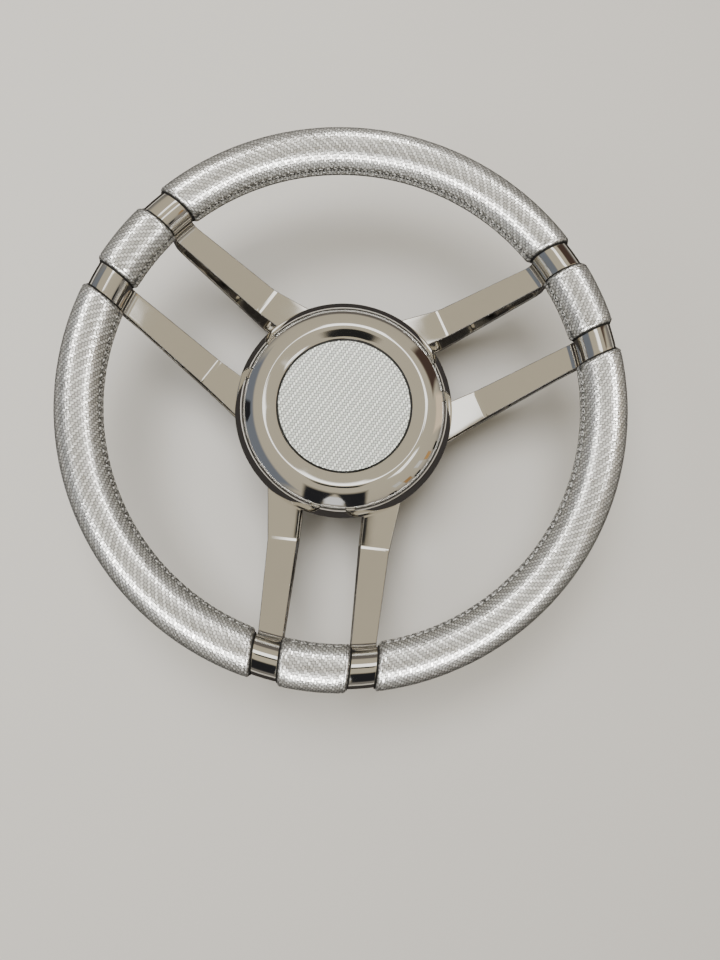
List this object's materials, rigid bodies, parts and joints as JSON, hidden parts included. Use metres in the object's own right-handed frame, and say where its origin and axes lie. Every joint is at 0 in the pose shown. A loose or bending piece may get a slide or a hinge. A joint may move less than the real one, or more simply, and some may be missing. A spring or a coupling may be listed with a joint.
{
  "type": "marine steering wheel",
  "caption": "Dished boat steering wheel with padded twill-wrapped grips, paired polished strap spokes and a domed bright hub bezel with a pull-off centre cap.",
  "frame": {"origin": "centre of the hub boss's rear face, which is the lowest point of the part", "axes": "+Z along the wheel's axis towards the driver; the lower spoke pair points along -Y and the keyway along +Y"},
  "size_m": [0.35, 0.35, 0.1059],
  "materials": {
    "rim_steel": "matte",
    "foam": "matte",
    "wrap": "satin",
    "rubber": "matte",
    "polished_steel": "polished",
    "hub_metal": "satin",
    "screw_steel": "satin",
    "bezel_metal": "polished",
    "cap_plastic": "gloss",
    "insert_weave": "satin"
  },
  "bodies": {
    "wheel": {"rim_ring": "rim_steel", "foam_core_short_lower": "foam", "foam_core_short_right": "foam", "foam_core_short_left": "foam", "foam_core_long_top": "foam", "foam_core_long_left": "foam", "foam_core_long_right": "foam", "grip_wrap_short_lower": "wrap", "grip_wrap_short_right": "wrap", "grip_wrap_short_left": "wrap", "grip_wrap_long_top": "wrap", "grip_wrap_long_left": "wrap", "grip_wrap_long_right": "wrap", "grip_end_gaskets": "rubber", "spoke_lower_a": "polished_steel", "spoke_lower_b": "polished_steel", "spoke_right_a": "polished_steel", "spoke_right_b": "polished_steel", "spoke_left_a": "polished_steel", "spoke_left_b": "polished_steel", "hub_drum": "hub_metal", "hub_front_plate": "hub_metal", "hub_boss": "hub_metal", "front_tab_screws": "screw_steel", "rear_tab_screws": "screw_steel", "bezel_screws": "screw_steel", "hub_bezel": "bezel_metal"},
    "cap": {"centre_cap": "cap_plastic", "cap_seal": "rubber", "cap_insert": "insert_weave"}
  },
  "joints": [
    {"name": "cap_pull", "type": "slide", "parent": "wheel", "child": "cap", "axis": [0, 0, 1], "range_m": [0, 0.04]}
  ]
}
